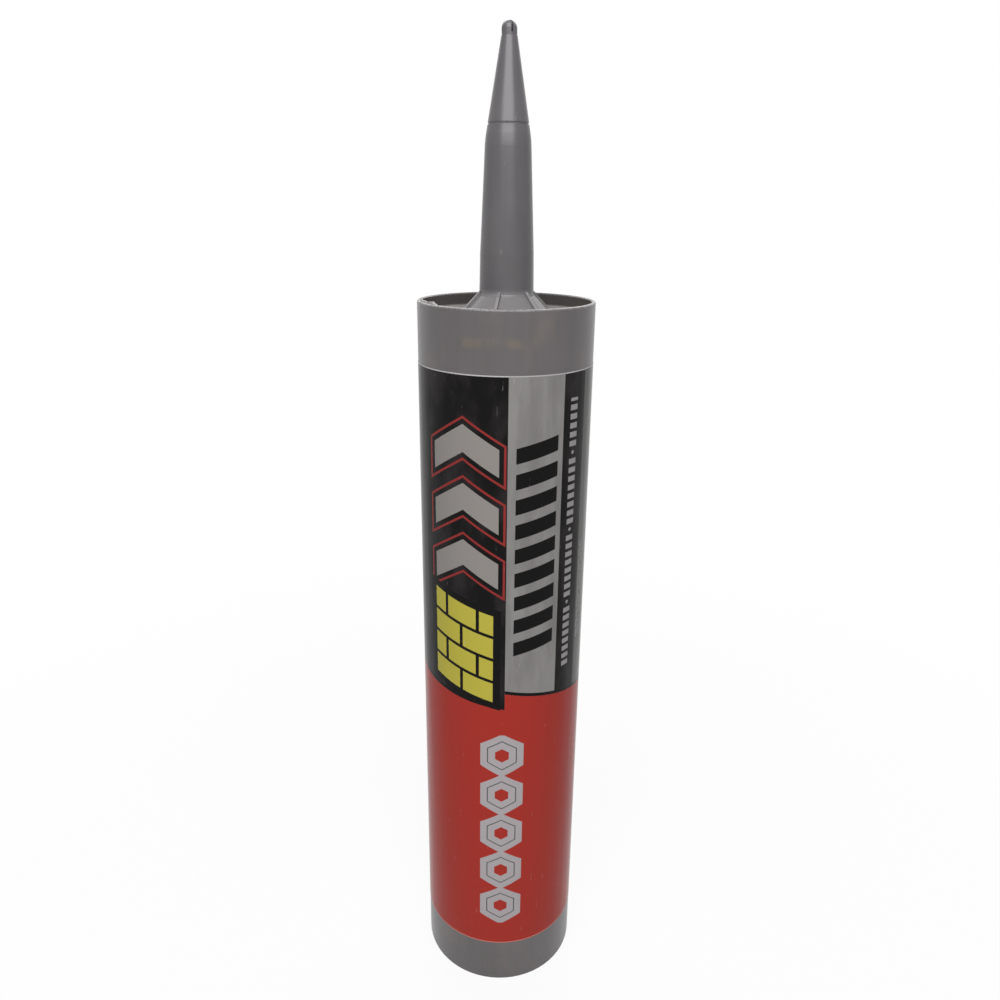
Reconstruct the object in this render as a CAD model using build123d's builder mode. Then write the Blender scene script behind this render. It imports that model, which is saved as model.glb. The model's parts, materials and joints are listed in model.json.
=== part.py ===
"""Construction adhesive cartridge with a closed, uncut nozzle.

The cartridge is one injection moulding: a straight barrel that is open at the
rear, a head sunk a little below the front rim, a flared hub with gusset ribs,
and a tapered nozzle with a closed, fluted tip. A printed film is wrapped round
the barrel. Inside are a foil seal across the nozzle's mouth, the adhesive, and
the plunger that a caulking gun pushes up the bore.

Frame: origin at the centre of the rear rim, +Z along the axis towards the
nozzle's tip, -Y towards the printed front. Sizes are in millimetres, angles in
degrees.
"""

import os
from math import degrees

from build123d import *

# Barrel and sunk head. The relief thins the front rim, round the recess.
barrel_radius = 25.0
barrel_length = 224.0
barrel_wall = 1.6
rim_relief = 0.5
rim_outer_round = 0.5
rim_inner_chamfer = 0.25
rear_edge_round = 0.4
head_recess = 3.8
head_thickness = 2.0
head_corner_chamfer = 0.6
bore_corner_chamfer = 1.0

# Wider mouth at the open end, where the plunger is put in
mouth_relief = 0.5
mouth_depth = 5.0
mouth_taper_length = 2.0
mouth_lead_in = 0.3

# Flared hub that carries the nozzle
hub_foot_radius = 12.7
hub_height = 5.4
hub_blend_radius = 1.0
hub_wall = 1.6
rib_count = 6
rib_thickness = 0.9
rib_stand = 0.75
rib_first_angle = -105.0

# Nozzle: a nearly straight root, a long shaft and a steeper cone. A taper is
# the radius lost over the length.
root_radius = 7.6
root_taper = 0.2
root_length = 10.9
shaft_taper = 1.25
shaft_length = 28.7
cone_length = 24.4
shoulder_blend_radius = 25.0
nozzle_wall = 1.3
cone_end_wall = 1.05

# Fine ring groove where two parts of the mould meet
ring_below_cone_top = 20.5
ring_width = 0.55
ring_depth = 0.18

# Closed tip with flutes
tip_radius = 2.0
tip_step = 0.12
tip_straight_length = 1.7
tip_end_thickness = 1.2
flute_count = 4
flute_width = 0.55
flute_depth = 0.95
flute_root_round = 0.22
flute_foot = 0.7
flute_first_angle = -70.0

# Film label, wrapped once round with a glued overlap at the back
label_rear_margin = 16.0
label_front_margin = 16.8
label_thickness = 0.08
label_glue = 0.02
label_overlap_width = 6.0
label_ramp_width = 0.8
label_seam_angle = 90.0

# Foil seal, welded under the head
foil_thickness = 0.12
foil_land = 2.6

# Plunger, and how far up the bore its rear edge stands in a full cartridge
plunger_inset = 29.0
plunger_height = 17.0
plunger_web = 1.6
plunger_skirt_gap = 0.7
plunger_skirt_wall = 1.3
plunger_edge_chamfer = 0.5
plunger_running_clearance = 0.05
lip_length = 3.0
lip_land = 0.8
push_rib_count = 8
push_rib_thickness = 1.2
push_rib_depth = 6.0
push_hub_radius = 7.0
push_hub_wall = 1.5

# Gap that the adhesive keeps from what is round it
fill_clearance = 0.05

# Sizes worked out from the ones above
bore_radius = barrel_radius - barrel_wall
recess_radius = bore_radius + rim_relief
head_top = barrel_length - head_recess
head_underside = head_top - head_thickness
hub_top = head_top + hub_height
root_top = hub_top + root_length
root_top_radius = root_radius - root_taper
shaft_top = root_top + shaft_length
shaft_top_radius = root_top_radius - shaft_taper
cone_top = shaft_top + cone_length
cone_top_radius = tip_radius + tip_step
tip_straight_top = cone_top + tip_straight_length
nozzle_top = tip_straight_top + tip_radius

# The hub's wall is measured square to its flare, so its inner cone is found
# from the flare's slope, in radius over height.
hub_slope = (hub_foot_radius - root_radius) / hub_height
slant = (1 + hub_slope**2) ** 0.5
passage_radius = root_radius - nozzle_wall
passage_foot_radius = hub_foot_radius + hub_slope * head_thickness - hub_wall * slant
passage_neck = head_underside + (passage_foot_radius - passage_radius) / hub_slope

foil_radius = passage_foot_radius + foil_land
foil_underside = head_underside - foil_thickness
plunger_front = plunger_inset + plunger_height
push_face = plunger_front - plunger_web - push_rib_depth
fill_rear = plunger_front + fill_clearance
fill_front = foil_underside - fill_clearance


def ring_edges(part, radius, height, reach=0.01):
    """Circular edges of a part with this radius at this height."""
    circles = part.edges().filter_by(GeomType.CIRCLE)
    return circles.filter_by(
        lambda edge: abs(edge.radius - radius) < reach
        and abs(edge.center().Z - height) < reach
    )


# Gusset rib: a thin plate that stands on the head and leans on the hub's flare.
# Its outer edge runs parallel to the flare, and its foot and back are buried.
rib_reach = rib_stand * slant
rib_root = hub_wall / 2 * slant
rib_foot = head_top - head_thickness / 2

with BuildPart() as hub_rib:
    with BuildSketch(Plane.XZ):
        with BuildLine():
            Polyline(
                (hub_foot_radius - rib_root, rib_foot),
                (hub_foot_radius + rib_reach, rib_foot),
                (hub_foot_radius + rib_reach, head_top),
                (root_radius, hub_top + rib_reach / hub_slope),
                (root_radius - rib_root, hub_top),
                close=True,
            )
        make_face()
    extrude(amount=rib_thickness / 2, both=True)

# Flute of the tip: a narrow slot cut in from the outside towards the core.
with BuildPart() as tip_flute:
    with BuildSketch(Plane.XY.offset(cone_top + flute_foot)):
        with Locations((tip_radius - flute_depth, 0)):
            Rectangle(
                2 * flute_depth,
                flute_width,
                align=(Align.MIN, Align.CENTER),
            )
    extrude(amount=tip_straight_length + tip_radius)
    fillet(
        tip_flute.edges().filter_by(Axis.Z).group_by(Axis.X)[0],
        radius=flute_root_round,
    )

# Cartridge: barrel, head, hub and nozzle in one moulding.
with BuildPart() as cartridge_body:
    with BuildSketch(Plane.XZ):
        with BuildLine():
            Polyline(
                (0, 0),
                (barrel_radius, 0),
                (barrel_radius, barrel_length),
                (recess_radius, barrel_length),
                (recess_radius, head_top),
                (hub_foot_radius, head_top),
                (root_radius, hub_top),
                (root_top_radius, root_top),
                (shaft_top_radius, shaft_top),
                (cone_top_radius, cone_top),
                (tip_radius, cone_top),
                (tip_radius, tip_straight_top),
            )
            RadiusArc(
                (tip_radius, tip_straight_top),
                (0, nozzle_top),
                -tip_radius,
            )
            Line((0, nozzle_top), (0, 0))
        make_face()
    revolve(axis=Axis.Z)
    fillet(
        ring_edges(cartridge_body, root_radius, hub_top),
        radius=hub_blend_radius,
    )
    fillet(
        ring_edges(cartridge_body, shaft_top_radius, shaft_top),
        radius=shoulder_blend_radius,
    )
    with PolarLocations(0, rib_count, start_angle=rib_first_angle):
        add(hub_rib.part)
    with PolarLocations(0, flute_count, start_angle=flute_first_angle):
        add(tip_flute.part, mode=Mode.SUBTRACT)

    # Bore, with its wider mouth at the rear
    mouth_radius = bore_radius + mouth_relief
    with BuildSketch(Plane.XZ):
        with BuildLine():
            Polyline(
                (0, 0),
                (mouth_radius + mouth_lead_in, 0),
                (mouth_radius, mouth_lead_in),
                (mouth_radius, mouth_depth),
                (bore_radius, mouth_depth + mouth_taper_length),
                (bore_radius, head_underside),
                (0, head_underside),
                close=True,
            )
        make_face()
    revolve(axis=Axis.Z, mode=Mode.SUBTRACT)
    chamfer(
        ring_edges(cartridge_body, bore_radius, head_underside),
        length=bore_corner_chamfer,
    )

    # Passage from the head to the closed tip
    with BuildSketch(Plane.XZ):
        with BuildLine():
            Polyline(
                (0, head_underside),
                (passage_foot_radius, head_underside),
                (passage_radius, passage_neck),
                (root_top_radius - nozzle_wall, root_top),
                (shaft_top_radius - nozzle_wall, shaft_top),
                (cone_top_radius - cone_end_wall, cone_top - tip_end_thickness),
                (0, cone_top - tip_end_thickness),
                close=True,
            )
        make_face()
    revolve(axis=Axis.Z, mode=Mode.SUBTRACT)

    # Ring groove round the cone
    cone_slope = (shaft_top_radius - cone_top_radius) / cone_length
    ring_height = cone_top - ring_below_cone_top
    ring_radius = cone_top_radius + cone_slope * ring_below_cone_top
    with BuildSketch(Plane.XZ):
        with Locations((ring_radius - ring_depth, ring_height)):
            Rectangle(2 * ring_depth, ring_width, align=(Align.MIN, Align.CENTER))
    revolve(axis=Axis.Z, mode=Mode.SUBTRACT)

    # Eased edges of both rims, and the corner where the head meets the rim
    fillet(
        ring_edges(cartridge_body, barrel_radius, barrel_length),
        radius=rim_outer_round,
    )
    chamfer(
        ring_edges(cartridge_body, recess_radius, barrel_length),
        length=rim_inner_chamfer,
    )
    chamfer(
        ring_edges(cartridge_body, recess_radius, head_top),
        length=head_corner_chamfer,
    )
    fillet(
        ring_edges(cartridge_body, barrel_radius, 0),
        radius=rear_edge_round,
    )
cartridge_body.part.label = "cartridge_body"

# Film label: one strip, with its end ramped up and glued over its start.
label_height = barrel_length - label_rear_margin - label_front_margin
label_inner = barrel_radius + label_glue
label_outer = label_inner + label_thickness
flap_inner = label_outer + label_glue
flap_outer = flap_inner + label_thickness
overlap_angle = degrees(label_overlap_width / label_outer)
ramp_angle = degrees(label_ramp_width / label_outer)
ramp_start = label_seam_angle - ramp_angle
flap_end = label_seam_angle + overlap_angle


def label_point(radius, angle):
    """Point of the label's section at a radius and an angle."""
    return Vector(radius, 0).rotate(Axis.Z, angle)


with BuildPart() as label:
    with BuildSketch(Plane.XY.offset(label_rear_margin)):
        with BuildLine():
            CenterArc((0, 0), label_inner, label_seam_angle, 360 - ramp_angle)
            Line(
                label_point(label_inner, ramp_start),
                label_point(flap_inner, label_seam_angle),
            )
            CenterArc((0, 0), flap_inner, label_seam_angle, overlap_angle)
            Line(
                label_point(flap_inner, flap_end),
                label_point(flap_outer, flap_end),
            )
            CenterArc((0, 0), flap_outer, flap_end, -overlap_angle)
            Line(
                label_point(flap_outer, label_seam_angle),
                label_point(label_outer, ramp_start),
            )
            CenterArc((0, 0), label_outer, ramp_start, ramp_angle - 360)
            Line(
                label_point(label_outer, label_seam_angle),
                label_point(label_inner, label_seam_angle),
            )
        make_face()
    extrude(amount=label_height)
label.part.label = "label"

# Foil seal: a flat disc welded to the head round the nozzle's mouth.
with BuildPart() as foil_seal:
    with BuildSketch(Plane.XY.offset(foil_underside)):
        Circle(foil_radius)
    extrude(amount=foil_thickness)
foil_seal.part.label = "foil_seal"

# Adhesive: fills the bore from the plunger to the head, round the foil.
fill_radius = bore_radius - fill_clearance
fill_rim = head_underside - fill_clearance
foil_pocket_radius = foil_radius + fill_clearance

with BuildPart() as adhesive:
    with BuildSketch(Plane.XZ):
        with BuildLine():
            Polyline(
                (0, fill_rear),
                (fill_radius, fill_rear),
                (fill_radius, fill_rim),
                (foil_pocket_radius, fill_rim),
                (foil_pocket_radius, fill_front),
                (0, fill_front),
                close=True,
            )
        make_face()
    revolve(axis=Axis.Z)
    chamfer(
        ring_edges(adhesive, fill_radius, fill_rim),
        length=bore_corner_chamfer,
    )
adhesive.part.label = "adhesive"

# Plunger: a cup with a wiping lip at each end, and ribs behind its face for
# the push disc of the gun.
lip_radius = bore_radius - plunger_running_clearance
skirt_radius = bore_radius - plunger_skirt_gap
skirt_inner = skirt_radius - plunger_skirt_wall
web_underside = plunger_front - plunger_web

with BuildPart() as plunger:
    with BuildSketch(Plane.XZ):
        with BuildLine():
            Polyline(
                (0, plunger_front),
                (skirt_radius, plunger_front),
                (lip_radius, plunger_front - lip_length + lip_land),
                (lip_radius, plunger_front - lip_length),
                (skirt_radius, plunger_front - lip_length),
                (skirt_radius, plunger_inset + lip_length),
                (lip_radius, plunger_inset + lip_land),
                (lip_radius, plunger_inset),
                (skirt_inner, plunger_inset),
                (skirt_inner, web_underside),
                (0, web_underside),
                close=True,
            )
        make_face()
    revolve(axis=Axis.Z)
    with BuildSketch(Plane.XY.offset(push_face)):
        with PolarLocations(0, push_rib_count):
            Rectangle(
                skirt_inner + plunger_skirt_wall / 2,
                push_rib_thickness,
                align=(Align.MIN, Align.CENTER),
            )
        Circle(push_hub_radius)
        Circle(push_hub_radius - push_hub_wall, mode=Mode.SUBTRACT)
    extrude(amount=push_rib_depth + plunger_web / 2)
    chamfer(
        ring_edges(plunger, skirt_radius, plunger_front),
        length=plunger_edge_chamfer,
    )
plunger.part.label = "plunger"

os.makedirs("parts", exist_ok=True)
export_step(cartridge_body.part, "parts/cartridge_body.step")
export_step(label.part, "parts/label.step")
export_step(foil_seal.part, "parts/foil_seal.step")
export_step(adhesive.part, "parts/adhesive.step")
export_step(plunger.part, "parts/plunger.step")

print("overall height", round(nozzle_top, 3), "mm")
print("adhesive", round(adhesive.part.volume / 1000, 1), "ml")
print("plunger face at", round(plunger_front, 3), "push face at", round(push_face, 3))
print("plunger travel to the foil", round(fill_front - plunger_front, 3), "mm")
for piece in (cartridge_body, label, foil_seal, adhesive, plunger):
    print(piece.part.label, round(piece.part.volume / 1000, 2), "ml")
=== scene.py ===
import json
from math import cos, exp, pi, radians, sin, sqrt

import bmesh
import bpy
from mathutils import Matrix, Vector


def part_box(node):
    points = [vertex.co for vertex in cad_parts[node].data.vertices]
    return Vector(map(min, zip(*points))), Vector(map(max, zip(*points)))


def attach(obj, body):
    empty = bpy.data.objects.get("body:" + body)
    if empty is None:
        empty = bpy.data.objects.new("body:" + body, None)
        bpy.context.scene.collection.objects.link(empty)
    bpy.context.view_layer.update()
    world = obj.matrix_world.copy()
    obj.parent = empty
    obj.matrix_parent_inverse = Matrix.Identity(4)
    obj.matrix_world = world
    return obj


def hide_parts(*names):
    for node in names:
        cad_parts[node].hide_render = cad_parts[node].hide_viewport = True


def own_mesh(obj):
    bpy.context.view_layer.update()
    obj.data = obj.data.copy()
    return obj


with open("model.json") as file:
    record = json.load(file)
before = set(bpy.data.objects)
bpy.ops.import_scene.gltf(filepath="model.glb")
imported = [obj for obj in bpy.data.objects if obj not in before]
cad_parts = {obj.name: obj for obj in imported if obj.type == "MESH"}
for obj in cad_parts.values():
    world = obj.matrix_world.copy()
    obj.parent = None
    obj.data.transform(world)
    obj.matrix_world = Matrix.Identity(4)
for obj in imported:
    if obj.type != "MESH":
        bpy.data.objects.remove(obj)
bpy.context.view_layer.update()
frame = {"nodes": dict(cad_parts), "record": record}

# Cartridge body: barrel, sunk head, hub and nozzle in one injection moulding of grey
# polyethylene, in the CAD part's own shape. It gets the waxy grey of the plastic with its
# flow marks, painted shade inside the rim, painted light on the head and hub, whose shine
# is dulled as by dust, painted highlights along the ribs' edges, brown smudges and a
# scuffed front rim.
mounts = {mount["name"]: mount for mount in frame["record"]["mounts"]}
front_rim_height = mounts["front_rim"]["pos_m"][2]
barrel_radius = mounts["barrel_wall"]["dims"]["r_mm"] / 1000
body_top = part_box("cartridge_body")[1].z
head_depth = 0.0038
head_height = front_rim_height - head_depth
hub_rise = 0.0054
hub_foot_radius = 0.0127
hub_slope = 0.944

# Where each mark lies, in metres. Two values: it fades in from the first to the second.
# Four: it then fades out from the third to the fourth. Heights count from the front rim
# or from the head.
wall_radii = (0.0222, 0.0226)
head_radii = (0.0245, 0.0235)
hub_radii = (0.0145, 0.0139)
rib_radii = (0.0165, 0.0160)
rib_off_flare = (0.0007, 0.0009)
# Where the painted shade on the inner wall of the rim lies, just under its top
recess_shade_radii = (0.0220, 0.0226, 0.0247, 0.02485)
recess_shade_over_rim = (-0.0036, -0.0030, -0.0008, -0.0002)
wear_over_rim = (-0.0007, 0.0, 0.0001, 0.0004)
# Bands of painted light on the head's floor and on the hub, of the head's dulled gloss, and of the
# ribs' painted highlights
head_light_over_head = (-0.0004, -0.0002, 0.0002, 0.0004)
dull_over_head = (-0.0004, -0.0002, hub_rise, hub_rise + 0.0003)
hub_light_over_head = (-0.0004, -0.0002, hub_rise + 0.0003, hub_rise + 0.0020)
rib_over_head = (0.0002, 0.0005, hub_rise - 0.0004, hub_rise + 0.0002)

# Scuffed places round the rim, as a bearing from the front and a spread to each side
scuffs = ((radians(-63), radians(15)), (radians(62), radians(8)))

# A faint brown stain on the bare end of the barrel
stain_height = 0.2155
stain_middle = -0.001
stain_reach = (0.016, 0.009)
stain_rise = (0.0023, 0.0003)

# Levels of the noise between which each pattern fades in
even_levels = (0.3, 0.7)
flow_levels = (0.3, 0.75)
scratch_levels = (0.68, 0.76)
smudge_levels = (0.5, 0.72)
nick_levels = (0.38, 0.62)
stain_levels = (0.4, 0.7)

# Share of brown on the barrel's wall, and of the worn rim's pale colour, from where
# such a pattern is absent to where it is full
wall_soil = (0.25, 0.55)
light_wear = (0.02, 0.32)
scuff_wear = (0.2, 0.6)


def seen(red, green, blue):
    """Linear values of a colour that is given as it looks on a screen, 0 to 255."""
    def linear(value):
        share = value / 255
        return share / 12.92 if share <= 0.04045 else ((share + 0.055) / 1.055) ** 2.4

    return linear(red), linear(green), linear(blue), 1.0


body_grey = seen(73, 71, 74)
body_light = seen(79, 77, 80)
body_pale = seen(158, 156, 155)
body_dark = seen(60, 58, 59)
# Painted shade for the inner wall of the rim
recess_shade_paint = seen(62, 60, 55)
# Painted light for the floor of the head and for the hub
head_light_paint = seen(128, 126, 123)
hub_light_paint = seen(106, 104, 105)
stain_brown = seen(108, 93, 68)
smudge_brown = seen(91, 84, 80)
body_roughness = 0.28
body_gloss = 0.36
dusty_gloss = 0.08


def new_finish(name, roughness):
    """A material with one Principled shader: the material, its tree and the shader."""
    material = bpy.data.materials.new(name)
    material.use_nodes = True
    shader = material.node_tree.nodes["Principled BSDF"]
    shader.inputs["Roughness"].default_value = roughness
    return material, material.node_tree, shader


def put(tree, kind, inputs=None, **settings):
    """Add a node with its settings, and link or set its inputs by name or number."""
    made = tree.nodes.new(kind)
    for setting, value in settings.items():
        setattr(made, setting, value)
    for socket, value in (inputs or {}).items():
        if isinstance(value, bpy.types.NodeSocket):
            tree.links.new(value, made.inputs[socket])
        else:
            made.inputs[socket].default_value = value
    return made


def calc(tree, operation, first, second=0.0, third=0.0, clamp=False):
    """Result of one arithmetic step on numbers or on other nodes' outputs."""
    values = {0: first, 1: second, 2: third}
    return put(tree, "ShaderNodeMath", values, operation=operation, use_clamp=clamp).outputs[0]


def product(tree, first, *others):
    """Any number of values multiplied: for masks, 1 only where all of them are 1."""
    for other in others:
        first = calc(tree, "MULTIPLY", first, other)
    return first


def from_to(tree, mask, low, high):
    """A mask made to run from low, where it was 0, to high, where it was 1."""
    return calc(tree, "MULTIPLY_ADD", mask, high - low, low)


def size_of(tree, value, centre):
    """Distance from a centre line, on either side."""
    return calc(tree, "ABSOLUTE", calc(tree, "SUBTRACT", value, centre))


def reach(tree, first, second):
    """Straight distance from the two distances along and across."""
    squares = calc(tree, "ADD", calc(tree, "POWER", first, 2), calc(tree, "POWER", second, 2))
    return calc(tree, "SQRT", squares)


def ramp(tree, value, start, end, low=0.0, high=1.0):
    """A value that goes smoothly from low to high as the input goes from start to end."""
    inputs = {"Value": value, "From Min": start, "From Max": end, "To Min": low, "To Max": high}
    return put(tree, "ShaderNodeMapRange", inputs, interpolation_type="SMOOTHSTEP").outputs[0]


def plateau(tree, value, start, full, fading, gone):
    """A mask that rises from start to full and falls again from fading to gone."""
    return product(tree, ramp(tree, value, start, full), ramp(tree, value, gone, fading))


def tint(tree, mask, below, above, strength=1.0):
    """One colour laid over another where a mask says, up to a strength from 0 to 1."""
    share = mask if strength == 1.0 else calc(tree, "MULTIPLY", mask, strength)
    return put(tree, "ShaderNodeMix", {0: share, 6: below, 7: above}, data_type="RGBA").outputs[2]


def grain(tree, place, scale, detail=2.0, stretch=(1, 1, 1)):
    """Noise from 0 to 1 with this many grains to the unit, stretched along an axis."""
    mapped = put(tree, "ShaderNodeMapping", {"Vector": place, "Scale": stretch}).outputs[0]
    inputs = {"Vector": mapped, "Scale": scale, "Detail": detail, "Roughness": 0.55}
    return put(tree, "ShaderNodeTexNoise", inputs).outputs["Fac"]


def object_place(tree):
    """Place on the object in metres, from the frame's origin."""
    return put(tree, "ShaderNodeTexCoord").outputs["Object"]


def axes_of(tree, place):
    """The three numbers of a place."""
    split = put(tree, "ShaderNodeSeparateXYZ", {0: place}).outputs
    return split["X"], split["Y"], split["Z"]


def raise_surface(tree, shader, height, depth, strength=1.0, under=None):
    """Bump the surface by a height from 0 to 1 times a depth in metres."""
    inputs = {"Height": height, "Distance": depth, "Strength": strength}
    if under is not None:
        inputs["Normal"] = under
    bump = put(tree, "ShaderNodeBump", inputs).outputs[0]
    tree.links.new(bump, shader.inputs["Normal"])
    return bump


def cover(piece, finish):
    """Give a piece this one material."""
    piece.data.materials.clear()
    piece.data.materials.append(finish)


grey_plastic, tree, shader = new_finish("grey_polyethylene", body_roughness)
place = object_place(tree)
x, y, z = axes_of(tree, place)
bearing = calc(tree, "ARCTAN2", x, calc(tree, "MULTIPLY", y, -1.0))
from_axis = reach(tree, x, y)
over_rim = calc(tree, "SUBTRACT", z, front_rim_height)
over_head = calc(tree, "SUBTRACT", z, head_height)
at_wall = ramp(tree, from_axis, *wall_radii)

# Marks that lie all over the plastic
clouds = grain(tree, place, scale=55, detail=3)
flow = grain(tree, place, scale=330, detail=4, stretch=(1, 1, 0.07))
specks = grain(tree, place, scale=2600, detail=3)
scratch_noise = grain(tree, place, scale=700, detail=4, stretch=(1, 0.5, 0.4))
scratches = ramp(tree, scratch_noise, *scratch_levels)
smudge_noise = grain(tree, place, scale=95, detail=3, stretch=(1, 1, 0.7))
smudges = ramp(tree, smudge_noise, *smudge_levels)
soiled_wall = product(tree, at_wall, from_to(tree, smudges, *wall_soil))
soiled = calc(tree, "MULTIPLY_ADD", smudges, 0.15, soiled_wall)

# Marks inside the rim: painted shade under it, painted light on the head and hub, and painted
# highlights along the ribs' edges
recess_shade_band = plateau(tree, over_rim, *recess_shade_over_rim)
painted_recess_shade = product(tree, recess_shade_band, plateau(tree, from_axis, *recess_shade_radii))
inside_rim = ramp(tree, from_axis, *head_radii)
# Painted light: the head's floor made pale, as where light falls on it
painted_head_light = product(tree, inside_rim, plateau(tree, over_head, *head_light_over_head))
# Painted light: the hub's flare and the foot of the nozzle made pale, as if lit
painted_hub_light = product(
    tree,
    plateau(tree, over_head, *hub_light_over_head),
    ramp(tree, from_axis, *hub_radii),
)
# Painted highlight along the ribs' outer edges, where they stand off the flare
flare_radius = calc(tree, "MULTIPLY_ADD", over_head, -hub_slope, hub_foot_radius)
rib_edge_highlight = product(
    tree,
    ramp(tree, calc(tree, "SUBTRACT", from_axis, flare_radius), *rib_off_flare),
    ramp(tree, from_axis, *rib_radii),
    plateau(tree, over_head, *rib_over_head),
)

# Wear of the front rim, heavier at the scuffs
nicks = ramp(tree, grain(tree, place, scale=1500, detail=3), *nick_levels)
rim_band = product(tree, at_wall, plateau(tree, over_rim, *wear_over_rim))
scuffed = 0.0
for scuff_bearing, scuff_spread in scuffs:
    to_scuff = size_of(tree, bearing, scuff_bearing)
    scuff = ramp(tree, to_scuff, scuff_spread, scuff_spread / 2)
    scuffed = calc(tree, "MAXIMUM", scuff, scuffed)
scuffed = product(tree, rim_band, scuffed)
rubbed_rim = product(tree, rim_band, from_to(tree, nicks, *light_wear))
scuffed_rim = product(tree, scuffed, from_to(tree, nicks, *scuff_wear))
wear = calc(tree, "ADD", rubbed_rim, scuffed_rim, clamp=True)

stain_along = size_of(tree, calc(tree, "MULTIPLY", bearing, barrel_radius), stain_middle)
stained = product(
    tree,
    at_wall,
    ramp(tree, stain_along, *stain_reach),
    ramp(tree, size_of(tree, z, stain_height), *stain_rise),
    ramp(tree, grain(tree, place, scale=190, detail=1), *stain_levels),
)

# Each layer of colour on the plastic: its mask, its strength and its colour
layers = (
    (ramp(tree, flow, *flow_levels), 0.35, body_dark),
    (scratches, 0.12, body_pale),
    (soiled, 1.0, smudge_brown),
    # Painted shade inside the rim, painted light on the head and hub, and painted highlights along
    # the ribs' edges
    (painted_recess_shade, 0.65, recess_shade_paint),
    (painted_head_light, 0.85, head_light_paint),
    (painted_hub_light, 0.8, hub_light_paint),
    (rib_edge_highlight, 0.22, body_pale),
    (wear, 1.0, body_pale),
    (specks, 0.16, body_dark),
    (stained, 0.26, stain_brown),
)
tone = tint(tree, ramp(tree, clouds, *even_levels), body_grey, body_light)
for mask, strength, colour in layers:
    tone = tint(tree, mask, tone, colour, strength)
tree.links.new(tone, shader.inputs["Base Color"])

rough = body_roughness
for mask, added in ((clouds, 0.05), (scratches, 0.15), (wear, 0.25)):
    rough = calc(tree, "MULTIPLY_ADD", mask, added, rough)
tree.links.new(rough, shader.inputs["Roughness"])
dull = product(tree, inside_rim, plateau(tree, over_head, *dull_over_head))
gloss = from_to(tree, dull, body_gloss, dusty_gloss)
tree.links.new(gloss, shader.inputs["Specular IOR Level"])

bump = raise_surface(tree, shader, flow, depth=0.00002, strength=0.3)
bump = raise_surface(tree, shader, specks, depth=0.00002, strength=0.4, under=bump)
gouges = product(tree, scuffed, nicks)
raise_surface(tree, shader, gouges, depth=0.0003, strength=0.8, under=bump)
cover(frame["nodes"]["cartridge_body"], grey_plastic)


# Shaving on the front rim: a thin ragged curl of the same plastic, whitened where it was
# dragged up along the left of the rim. It stands on the rim and leans inwards, as a flat
# strip that is bent round.
shaving_start = radians(-79)
shaving_end = radians(-50)
shaving_radius = barrel_radius - 0.00055
shaving_thickness = 0.00045
shaving_foot = 0.0003
shaving_lean = 0.00035
shaving_ripple = 0.00006
ripple_pace = 31
shaving_low = 0.0002
shaving_rise = 0.0004
end_taper = 9
lump_place = 0.8
lump_width = 0.1
lump_rise = 0.00012
tear_levels = (0.35, 0.65)
whitened_dark = seen(92, 90, 89)
whitened_pale = seen(124, 122, 120)

# The waves that add up to its ragged top: pace, shift and size of each
fringe = ((19, 0, 0.22), (47, 1, 0.16), (113, 2, 0.07))


def new_piece(name, shape, sharp_angle=radians(40)):
    """A piece made of a finished bmesh, smooth but for its edges past an angle."""
    for face in shape.faces:
        face.smooth = True
    mesh = bpy.data.meshes.new(name)
    shape.to_mesh(mesh)
    shape.free()
    mesh.set_sharp_from_angle(angle=sharp_angle)
    piece = bpy.data.objects.new(name, mesh)
    bpy.context.scene.collection.objects.link(piece)
    return piece


curl = bmesh.new()
bmesh.ops.create_grid(curl, x_segments=110, y_segments=6, size=0.5)
bmesh.ops.solidify(curl, geom=curl.faces[:], thickness=shaving_thickness)
bmesh.ops.recalc_face_normals(curl, faces=curl.faces)
for vert in curl.verts:
    along, rise, out = vert.co.x + 0.5, vert.co.y + 0.5, vert.co.z
    taper = min(1, end_taper * along, end_taper * (1 - along))
    ragged = 0.5 + sum(size * sin(pace * along + shift) for pace, shift, size in fringe)
    lump = exp(-(((along - lump_place) / lump_width) ** 2))
    top = taper * (shaving_low + shaving_rise * ragged + lump_rise * lump)
    lean = shaving_ripple * sin(ripple_pace * along) - shaving_lean
    turn = shaving_start + (shaving_end - shaving_start) * along
    radius = shaving_radius + out * (1 + lump) + rise * lean
    height = front_rim_height - shaving_foot + rise * (shaving_foot + top)
    vert.co = (radius * sin(turn), -radius * cos(turn), height)
shaving = new_piece("rim_shaving", curl, radians(50))

whitened_plastic, tree, shader = new_finish("whitened_polyethylene", 0.5)
tear = grain(tree, object_place(tree), scale=1300)
tone = tint(tree, ramp(tree, tear, *tear_levels), whitened_dark, whitened_pale)
tree.links.new(tone, shader.inputs["Base Color"])
raise_surface(tree, shader, tear, depth=0.00004, strength=0.5)
cover(shaving, whitened_plastic)
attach(shaving, "cartridge")


# Foil seal: a disc of aluminium foil welded under the head, across the nozzle's mouth.
# It keeps the CAD part's shape and gets the rolled finish and the knurled weld ring.
foil_low, foil_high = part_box("foil_seal")
foil_radius = foil_high.x
foil_thickness = foil_high.z - foil_low.z
weld_width = 0.0026
weld_edge = 0.0002
knurl_pace = 6500
foil_grey = seen(196, 197, 200)
foil_light = seen(226, 227, 229)

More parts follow.
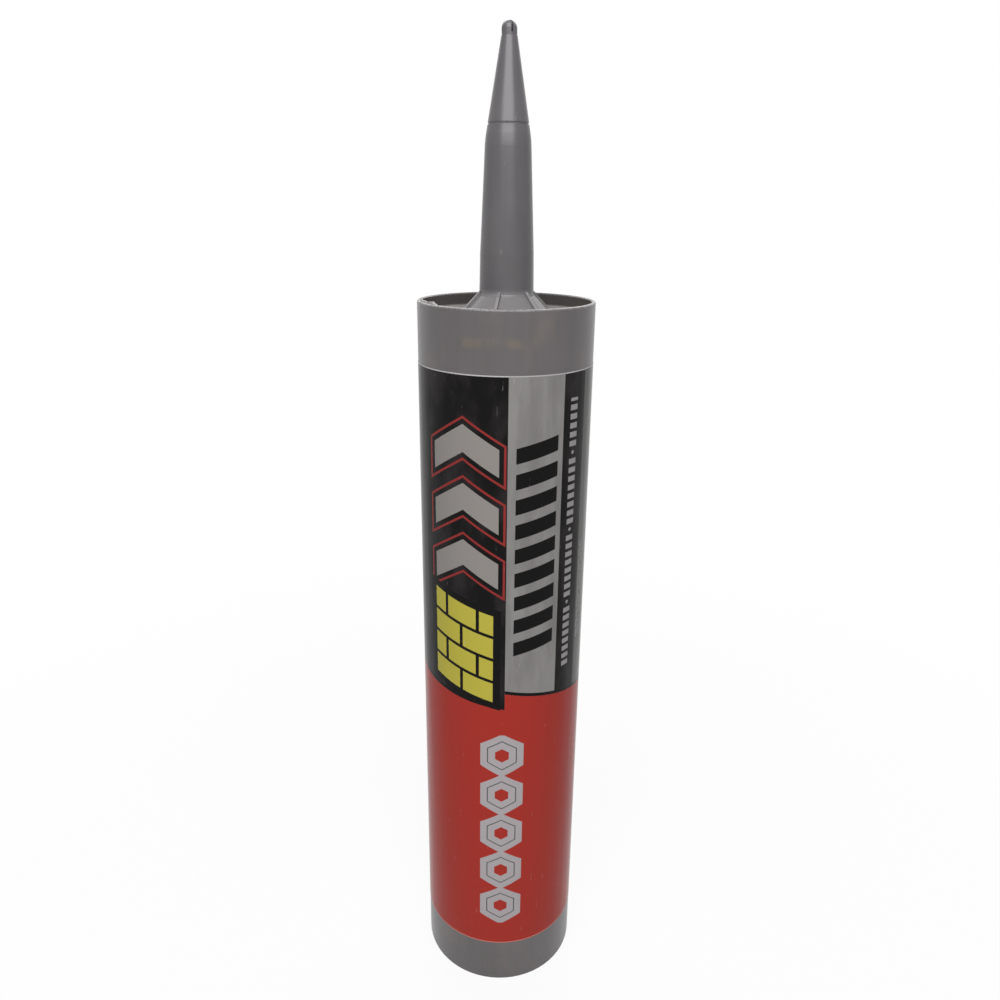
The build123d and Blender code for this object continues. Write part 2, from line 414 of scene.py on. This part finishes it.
foil_finish, tree, shader = new_finish("rolled_foil", 0.3)
shader.inputs["Metallic"].default_value = 1.0
place = object_place(tree)
x, y, z = axes_of(tree, place)
rolled = grain(tree, place, scale=900, stretch=(1, 0.05, 1))
tree.links.new(tint(tree, rolled, foil_grey, foil_light), shader.inputs["Base Color"])
weld_start = foil_radius - weld_width
weld = ramp(tree, reach(tree, x, y), weld_start - weld_edge, weld_start)
knurl = weld
for slant in ("ADD", "SUBTRACT"):
    wave = calc(tree, "SINE", calc(tree, "MULTIPLY", calc(tree, slant, x, y), knurl_pace))
    knurl = product(tree, knurl, wave)
creases = grain(tree, place, scale=120, detail=3)
bump = raise_surface(tree, shader, creases, depth=0.0002, strength=0.5)
raise_surface(tree, shader, knurl, depth=0.00008, strength=0.8, under=bump)
cover(frame["nodes"]["foil_seal"], foil_finish)


# Label: a strip of printed film, wound once round the barrel from a start at the back
# and glued down over that start. It is cut and printed flat, so its mesh starts flat
# too, takes its thickness, and is then bent round the barrel.
label_low, label_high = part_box("label")
film_glue = 0.00002
film_thickness = 0.00006
film_radius = barrel_radius + film_glue + film_thickness
film_lap = 0.006
film_climb = 0.0012
film_height = label_high.z - label_low.z
half_turn = pi * film_radius
film_columns = 264
film_rows = 48

film = bmesh.new()
bmesh.ops.create_grid(film, x_segments=film_columns, y_segments=film_rows, size=0.5)
bmesh.ops.scale(film, vec=(2 * half_turn + film_lap, film_height, 1), verts=film.verts)
film_middle = (film_lap / 2, label_low.z + film_height / 2, 0)
bmesh.ops.translate(film, vec=film_middle, verts=film.verts)
bmesh.ops.solidify(film, geom=film.faces[:], thickness=film_thickness)
bmesh.ops.recalc_face_normals(film, faces=film.faces)
artwork = film.loops.layers.uv.new("artwork")
for face in film.faces:
    for corner in face.loops:
        corner[artwork].uv = (corner.vert.co.x * 1000, corner.vert.co.y * 1000)
film_back = min(vert.co.z for vert in film.verts)
for vert in film.verts:
    along, up, out = vert.co
    climb = min(max((along - half_turn + film_climb) / film_climb, 0), 1)
    lift = climb * climb * (3 - 2 * climb) * (film_thickness + film_glue)
    radius = barrel_radius + film_glue + out - film_back + lift
    turn = along / film_radius
    vert.co = (radius * sin(turn), -radius * cos(turn), up)
label = new_piece("label_film", film)

# Print of the label, in millimetres on the flat film: across is measured round the
# barrel from the middle of the front, up from the barrel's rear rim. Solid fields of
# black, silver, grey and red ink carry plain shapes in silver, yellow and white.
ink_edge = 0.05
black_ink = seen(13, 12, 12)
# Lighter black for the painted reflection on the black ink
painted_sheen_black = seen(33, 30, 31)
silver_ink = seen(107, 105, 104)
silver_light = seen(121, 119, 118)
silver_dull = seen(113, 109, 106)
grey_ink = seen(70, 70, 69)
fine_grey = seen(118, 117, 115)
side_grey = seen(112, 112, 110)
red_ink = seen(132, 38, 31)
outline_red = seen(112, 37, 35)
fine_pink = seen(178, 130, 124)
yellow_ink = seen(147, 139, 53)
white_ink = seen(137, 132, 134)
white_dull = seen(124, 121, 122)
bare_film = seen(152, 150, 150)
bare_on_red = seen(170, 100, 92)

printed_film, film_tree, shader = new_finish("printed_film", 0.26)
flat = put(film_tree, "ShaderNodeUVMap", uv_map="artwork").outputs[0]
across, up, _ = axes_of(film_tree, flat)


def past(value, line):
    """1 where a value is past a line, 0 before it, with the soft edge of ink."""
    distance = calc(film_tree, "SUBTRACT", value, line)
    return calc(film_tree, "MULTIPLY_ADD", distance, 1 / ink_edge, 0.5, clamp=True)


def short_of(value, line):
    """1 where a value is short of a line, 0 past it."""
    return calc(film_tree, "SUBTRACT", 1.0, past(value, line))


def between(value, low, high):
    """1 where a value lies between two lines."""
    return product(film_tree, past(value, low), short_of(value, high))


def leaning(away, slope):
    """Height on the film, counted from a line that falls by a slope away from a place."""
    return calc(film_tree, "MULTIPLY_ADD", away, slope, up)


def from_nearest(value, first, pitch):
    """Distance from the nearest of a row of lines, the first of which is given."""
    from_start = calc(film_tree, "SUBTRACT", value, first - pitch / 2)
    in_step = calc(film_tree, "WRAP", from_start, pitch, 0.0)
    return size_of(film_tree, in_step, pitch / 2)


def along_row(value, first, pitch, count):
    """1 over the length of a row of this many lines."""
    return between(value, first - pitch / 2, first + pitch * (count - 0.5))


def step_number(value, start, pitch):
    """Number of the step that a value lies in, counted from a start."""
    from_start = calc(film_tree, "SUBTRACT", value, start)
    return calc(film_tree, "FLOOR", calc(film_tree, "DIVIDE", from_start, pitch))


# Solid fields, with the red field's upper edge sloping down to the right and
# stepping up where the silver panel starts
black_left = -42.0
panel_left = 0.9
strip_left = 17.3
side_left = 26.6
panel_foot = 112.3
foot_slope = -0.187
slope_end = 38.0
red_top_front = 107.0
red_slope = -0.16
rule_low = -0.2
rule_high = 0.9
red_low = panel_foot + foot_slope * (slope_end - panel_left)
red_peak = red_top_front + red_slope * black_left
back_slope = (red_peak - red_low) / (half_turn * 1000 + black_left)


def sloping(start, height, slope):
    """Height of a straight edge that has this height at a start across the film."""
    from_start = calc(film_tree, "SUBTRACT", across, start)
    return calc(film_tree, "MULTIPLY_ADD", from_start, slope, height)


right_edge = calc(film_tree, "MAXIMUM", sloping(panel_left, panel_foot, foot_slope), red_low)
left_edge = calc(
    film_tree,
    "MINIMUM",
    sloping(0.0, red_top_front, red_slope),
    sloping(black_left, red_peak, back_slope),
)
right_part = product(film_tree, right_edge, past(across, panel_left))
left_part = product(film_tree, left_edge, short_of(across, panel_left))
above_red = calc(film_tree, "SUBTRACT", up, calc(film_tree, "ADD", right_part, left_part))

# Painted reflection: soft lighter patches on the black ink stand in for the film's shine
sheen_levels = (0.42, 0.72)
sheen_noise = grain(film_tree, flat, scale=0.11, detail=3, stretch=(1, 0.5, 1))
soft_patches = ramp(film_tree, sheen_noise, *sheen_levels)
black_with_sheen = tint(film_tree, soft_patches, black_ink, painted_sheen_black)
cloud_noise = grain(film_tree, flat, scale=0.2, detail=4, stretch=(1, 0.2, 1))
silver = tint(film_tree, ramp(film_tree, cloud_noise, *even_levels), silver_ink, silver_light)
printed = grey_ink
fields = (
    (between(across, black_left, panel_left), black_with_sheen),
    (between(across, panel_left, strip_left), silver),
    (between(across, strip_left, side_left), black_with_sheen),
    (between(above_red, rule_low, rule_high), black_ink),
    (short_of(above_red, rule_low), red_ink),
)
for field, ink in fields:
    printed = tint(film_tree, field, printed, ink)

# Chevrons on the black field: silver, with a black gap and a red outline
chevron_middle = -11.8
chevron_half = 10.4
chevron_slope = 0.62
chevron_first = 156.6
chevron_pitch = 16.6
chevron_count = 3
chevron_body = 3.9
chevron_gap = 1.3
chevron_outline = 1.95
from_middle = size_of(film_tree, across, chevron_middle)
chevron_up = leaning(from_middle, chevron_slope)
chevron_row = along_row(chevron_up, chevron_first, chevron_pitch, chevron_count)
from_chevron = from_nearest(chevron_up, chevron_first, chevron_pitch)


def chevron(grow):
    """Mask of every chevron, made larger all round by some millimetres."""
    body_edge = chevron_body + grow * sqrt(1 + chevron_slope ** 2)
    side_edge = chevron_half + grow
    inside = product(film_tree, short_of(from_chevron, body_edge), short_of(from_middle, side_edge))
    return product(film_tree, inside, chevron_row)


printed = tint(film_tree, chevron(chevron_outline), printed, outline_red)
printed = tint(film_tree, chevron(chevron_gap), printed, black_with_sheen)
printed = tint(film_tree, chevron(0.0), printed, silver_dull)

# Yellow block of four brick courses with black joints and a black border
block_middle = -12.6
block_half = 10.4
block_low = 111.5
block_high = 141.0
block_slope = 0.28
block_border = 1.7
course_count = 4
course_pitch = (block_high - block_low) / course_count
brick_length = block_half
joint_half = 0.5
block_up = leaning(calc(film_tree, "SUBTRACT", across, block_middle), block_slope)


def block(grow):
    """Mask of the leaning block, made larger all round by some millimetres."""
    sides = short_of(size_of(film_tree, across, block_middle), block_half + grow)
    return product(film_tree, sides, between(block_up, block_low - grow, block_high + grow))


course = step_number(block_up, block_low, course_pitch)
odd_course = calc(film_tree, "MODULO", course, 2.0)
brick_place = calc(film_tree, "MULTIPLY_ADD", odd_course, brick_length / 2, across)
from_bed = from_nearest(block_up, block_low, course_pitch)
from_end = from_nearest(brick_place, block_middle, brick_length)
bricks = product(
    film_tree,
    block(-joint_half),
    past(from_bed, joint_half),
    past(from_end, joint_half),
)
printed = tint(film_tree, block(block_border), printed, black_ink)
printed = tint(film_tree, bricks, printed, yellow_ink)

# Black bars on the silver panel, slanted, in a ladder
bar_left = 3.2
bar_right = 15.6
bar_first = 127.0
bar_pitch = 7.3
bar_count = 9
bar_half = 2.2
bar_slope = -0.24
bar_up = leaning(calc(film_tree, "SUBTRACT", across, bar_left), bar_slope)
bars = product(
    film_tree,
    short_of(from_nearest(bar_up, bar_first, bar_pitch), bar_half),
    between(across, bar_left, bar_right),
    along_row(bar_up, bar_first, bar_pitch, bar_count),
)
printed = tint(film_tree, bars, printed, black_ink)

# White dashes up the black strip, in runs with a dot between them
dash_middle = 21.4
dash_half = 1.5
dash_pitch = 2.55
dash_half_height = 0.78
dash_low = 117.0
dash_high = 200.0
dash_run = 8
dot_radius = 0.55
run_pitch = dash_pitch * (dash_run + 1)
from_dash_middle = size_of(film_tree, across, dash_middle)
from_dash = from_nearest(up, dash_low + dash_pitch / 2, dash_pitch)
from_dot = from_nearest(up, dash_low + dash_pitch * (dash_run + 0.5), run_pitch)
dashes = product(
    film_tree,
    short_of(from_dash, dash_half_height),
    short_of(from_dash_middle, dash_half),
    past(from_dot, dash_pitch / 2),
)
dots = short_of(reach(film_tree, from_dot, from_dash_middle), dot_radius)
marks = calc(film_tree, "MAXIMUM", dashes, dots)
marks = product(film_tree, marks, between(up, dash_low, dash_high))
printed = tint(film_tree, marks, printed, white_dull)

# White hexagons with an open middle on the red field, each with a thin line inside it
hexagon_middle = 0.3
hexagon_half = 6.7
hexagon_hole = 2.1
hexagon_line = (4.25, 4.6)
hexagon_first = 32.0
hexagon_pitch = 14.6
hexagon_count = 5
hexagon_turn = radians(60)
hexagon_aside = size_of(film_tree, across, hexagon_middle)
hexagon_upward = from_nearest(up, hexagon_first, hexagon_pitch)
slanted = calc(film_tree, "MULTIPLY", hexagon_upward, sin(hexagon_turn))
slanted = calc(film_tree, "MULTIPLY_ADD", hexagon_aside, cos(hexagon_turn), slanted)
hexagon_reach = calc(film_tree, "MAXIMUM", hexagon_aside, slanted)
hexagon_row = along_row(up, hexagon_first, hexagon_pitch, hexagon_count)
for edges, ink in (((hexagon_hole, hexagon_half), white_ink), (hexagon_line, grey_ink)):
    ring = product(film_tree, between(hexagon_reach, *edges), hexagon_row)
    printed = tint(film_tree, ring, printed, ink)

# Fine broken lines that run up the film, in blocks on the grey side and the red back.
# Each block: left edge, pitch and number of its lines, foot, head and ink.
line_half = 0.3
line_shift = 7.3
break_grain = 0.9
break_levels = (0.40, 0.44)
line_blocks = (
    (27.1, 1.35, 2, 124.0, 156.0, side_grey),
    (34.0, 2.2, 13, 122.0, 196.0, fine_grey),
    (-72.0, 2.6, 10, 130.0, 192.0, fine_grey),
    (40.0, 2.6, 11, 26.0, 92.0, fine_pink),
)
for left, pitch, count, foot, head, ink in line_blocks:
    shift = calc(film_tree, "MULTIPLY", step_number(across, left, pitch), line_shift)
    on_line = put(film_tree, "ShaderNodeCombineXYZ", {0: shift, 1: up}).outputs[0]
    lines = product(
        film_tree,
        short_of(from_nearest(across, left + pitch / 2, pitch), line_half),
        ramp(film_tree, grain(film_tree, on_line, break_grain, detail=1), *break_levels),
        between(across, left, left + pitch * count),
        between(up, foot, head),
    )
    printed = tint(film_tree, lines, printed, ink)

# Bare margins of the film at its cut edges
margin = 0.32
top_margin = past(up, label_high.z * 1000 - margin)
foot_margin = short_of(up, label_low.z * 1000 + margin)
printed = tint(film_tree, top_margin, printed, bare_film)
printed = tint(film_tree, foot_margin, printed, bare_on_red)

# Handling marks, the film's shine and its faint ripples along the barrel
film_roughness = (0.185, 0.265)
film_gloss = 0.07
silver_shine = 0.4
rub_levels = (0.68, 0.80)
fleck_levels = (0.74, 0.79)
rub_noise = grain(film_tree, flat, scale=1.1, detail=3, stretch=(1, 0.14, 1))
rubbed = ramp(film_tree, rub_noise, *rub_levels)
fleck_noise = grain(film_tree, flat, scale=1.9, stretch=(1, 0.45, 1))
flecks = ramp(film_tree, fleck_noise, *fleck_levels)
handled = calc(film_tree, "MAXIMUM", rubbed, flecks)
printed = tint(film_tree, handled, printed, bare_film, strength=0.28)
film_tree.links.new(printed, shader.inputs["Base Color"])
rough = from_to(film_tree, grain(film_tree, flat, scale=0.08, detail=3), *film_roughness)
rough = calc(film_tree, "MULTIPLY_ADD", rubbed, 0.2, rough)
film_tree.links.new(rough, shader.inputs["Roughness"])
shiny = product(
    film_tree,
    between(across, panel_left, strip_left),
    past(above_red, rule_high),
    calc(film_tree, "SUBTRACT", 1.0, bars),
)
metal = calc(film_tree, "MULTIPLY", shiny, silver_shine)
film_tree.links.new(metal, shader.inputs["Metallic"])
shader.inputs["Specular IOR Level"].default_value = film_gloss
long_ripples = grain(film_tree, flat, scale=0.16, stretch=(1, 0.08, 1))
fine_ripples = grain(film_tree, flat, scale=2.4, detail=3)
bump = raise_surface(film_tree, shader, long_ripples, depth=0.00035, strength=0.5)
raise_surface(film_tree, shader, fine_ripples, depth=0.00001, strength=0.3, under=bump)
cover(label, printed_film)
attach(label, "cartridge")
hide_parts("label")


# Adhesive: a stiff tan paste that fills the bore from the plunger to the head, with the
# foil's print in its front face. In use it is pressed out of the nozzle as the plunger
# comes up, so the column shortens towards the head; here it is built at one length.
paste_low, paste_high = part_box("adhesive")
paste_radius = paste_high.x
paste_tall = paste_high.z - paste_low.z
paste_corner = 0.001
paste_rings = 60
half_way = (0, 0, paste_low.z + paste_tall / 2)
pocket_radius = foil_radius + 0.00005
paste_tan = seen(190, 166, 124)
paste_pale = seen(206, 184, 144)
filler_brown = seen(150, 124, 88)
filler_levels = (0.6, 0.75)

column = bmesh.new()
bmesh.ops.create_cone(
    column,
    cap_ends=True,
    segments=128,
    radius1=paste_radius,
    radius2=paste_radius,
    depth=paste_tall,
)
top_rim = [edge for edge in column.edges if all(vert.co.z > 0 for vert in edge.verts)]
bmesh.ops.translate(column, vec=half_way, verts=column.verts)
bmesh.ops.bevel(
    column,
    geom=top_rim,
    offset=paste_corner,
    offset_type="OFFSET",
    segments=1,
    profile=0.5,
    affect="EDGES",
    material=-1,
)
front = max(column.faces, key=lambda face: face.calc_center_median().z)
pocket_inset = paste_radius - paste_corner - pocket_radius
bmesh.ops.inset_individual(column, faces=[front], thickness=pocket_inset, depth=0)
bmesh.ops.translate(column, vec=(0, 0, -foil_thickness), verts=front.verts)
walls = [edge for edge in column.edges if edge.calc_length() > paste_tall / 2]
bmesh.ops.subdivide_edges(column, edges=walls, cuts=paste_rings, use_grid_fill=True)
bmesh.ops.recalc_face_normals(column, faces=column.faces)
paste = new_piece("paste_column", column)

paste_finish, tree, shader = new_finish("adhesive_paste", 0.45)
place = object_place(tree)
lumps = grain(tree, place, scale=160, detail=4)
filler = grain(tree, place, scale=1800)
tone = tint(tree, ramp(tree, lumps, *even_levels), paste_tan, paste_pale)
specked = ramp(tree, filler, *filler_levels)
tone = tint(tree, specked, tone, filler_brown, strength=0.4)
tree.links.new(tone, shader.inputs["Base Color"])
tree.links.new(from_to(tree, lumps, 0.3, 0.6), shader.inputs["Roughness"])
bump = raise_surface(tree, shader, lumps, depth=0.0004, strength=0.5)
raise_surface(tree, shader, filler, depth=0.00005, strength=0.5, under=bump)
cover(paste, paste_finish)

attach(paste, "cartridge")
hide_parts("adhesive")
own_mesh(paste)


# Plunger: a cup moulded in natural polyethylene, pushed into the open rear after the
# filling. It keeps the CAD part's shape and gets the milky, waxy look of the plastic.
fan_stretch = 12
fan_levels = (0.5, 0.8)
milky_grey = seen(222, 221, 213)
milky_white = seen(232, 231, 224)
flow_grey = seen(204, 203, 194)

milky_plastic, tree, shader = new_finish("natural_polyethylene", 0.4)
place = object_place(tree)
x, y, z = axes_of(tree, place)
bearing = calc(tree, "ARCTAN2", x, y)
outward = calc(tree, "MULTIPLY", reach(tree, x, y), fan_stretch)
fan = put(tree, "ShaderNodeCombineXYZ", {0: bearing, 1: outward}).outputs[0]
flow_lines = ramp(tree, grain(tree, fan, scale=9, detail=3), *fan_levels)
soft_patches = grain(tree, place, scale=140, detail=3)
tone = tint(tree, ramp(tree, soft_patches, *even_levels), milky_grey, milky_white)
tone = tint(tree, flow_lines, tone, flow_grey, strength=0.2)
tree.links.new(tone, shader.inputs["Base Color"])
tree.links.new(from_to(tree, soft_patches, 0.3, 0.5), shader.inputs["Roughness"])
shader.inputs["Subsurface Weight"].default_value = 0.15
shader.inputs["Subsurface Scale"].default_value = 0.002
raise_surface(tree, shader, grain(tree, place, scale=2400), depth=0.00002, strength=0.4)
cover(frame["nodes"]["plunger"], milky_plastic)


# Studio: a plain white floor that runs out of sight, soft light from one high panel in
# front and one behind, and the camera held in front, a little above the nozzle's hub.
floor_half = 6.0
floor_grey = (0.5, 0.5, 0.5, 1)
white = (1, 1, 1, 1)
floor_near = 0.9
near_radius = 0.03
far_radius = 0.45
room_light = 0.1

slab = bmesh.new()
bmesh.ops.create_grid(slab, x_segments=1, y_segments=1, size=floor_half)
floor = new_piece("studio_floor", slab)


def seen_directly(tree):
    """1 for rays from the camera, from a mirror-like surface or through glass."""
    rays = put(tree, "ShaderNodeLightPath").outputs
    mirrored = calc(tree, "MAXIMUM", rays["Is Glossy Ray"], rays["Is Transmission Ray"])
    return calc(tree, "MAXIMUM", rays["Is Camera Ray"], mirrored)


# The floor looks white away from the cartridge, and keeps its shadow near to it
white_floor, tree, shader = new_finish("white_floor", 0.9)
shader.inputs["Base Color"].default_value = floor_grey
shader.inputs["Specular IOR Level"].default_value = 0.0
away = put(tree, "ShaderNodeVectorMath", {0: object_place(tree)}, operation="LENGTH")
whiter = ramp(tree, away.outputs["Value"], near_radius, far_radius, low=floor_near)
glow = put(tree, "ShaderNodeEmission", {"Color": white, "Strength": 1.0}).outputs[0]
share = product(tree, seen_directly(tree), whiter)
blend = put(tree, "ShaderNodeMixShader", {0: share, 1: shader.outputs[0], 2: glow}).outputs[0]
tree.links.new(blend, tree.nodes["Material Output"].inputs["Surface"])
cover(floor, white_floor)

world = bpy.data.worlds.new("studio")
world.use_nodes = True
tree = world.node_tree
sky = tree.nodes["Background"]
sky.inputs["Color"].default_value = white
brightness = from_to(tree, seen_directly(tree), room_light, 1.0)
tree.links.new(brightness, sky.inputs["Strength"])
bpy.context.scene.world = world


def panel(name, bearing, rise, distance, wide, tall, power):
    """A soft light panel that faces the middle of the cartridge."""
    lamp = bpy.data.lights.new(name, "AREA")
    lamp.shape = "RECTANGLE"
    lamp.size = wide
    lamp.size_y = tall
    lamp.energy = power
    level = distance * cos(rise)
    away = Vector((level * sin(bearing), -level * cos(bearing), distance * sin(rise)))
    place = Matrix.Translation(Vector((0, 0, body_top / 2)) + away)
    stand = bpy.data.objects.new(name, lamp)
    stand.matrix_world = place @ (-away).to_track_quat("-Z", "Y").to_matrix().to_4x4()
    bpy.context.scene.collection.objects.link(stand)


panel("front_panel", radians(-3), radians(46), distance=0.95, wide=1.1, tall=0.85, power=20.0)
panel("back_panel", radians(180), radians(48), distance=0.95, wide=1.3, tall=0.8, power=10.0)

sensor_width = 36.0
focal_share = 0.8266866
camera_place = Vector((0, -0.2375821, 0.2476748))
camera_tilt = 0.3370
camera_roll = -0.0101
camera_turn = 0.0051
camera = bpy.data.objects.new("camera", bpy.data.cameras.new("camera"))
camera.data.sensor_width = sensor_width
camera.data.lens = sensor_width * focal_share
camera.data.clip_start = 0.01
aim = Matrix.Rotation(camera_turn, 4, "Z") @ Matrix.Rotation(pi / 2 - camera_tilt, 4, "X")
aim = aim @ Matrix.Rotation(-camera_roll, 4, "Z")
camera.matrix_world = Matrix.Translation(camera_place) @ aim
bpy.context.scene.collection.objects.link(camera)
bpy.context.scene.camera = camera
bpy.context.scene.view_settings.view_transform = "Standard"
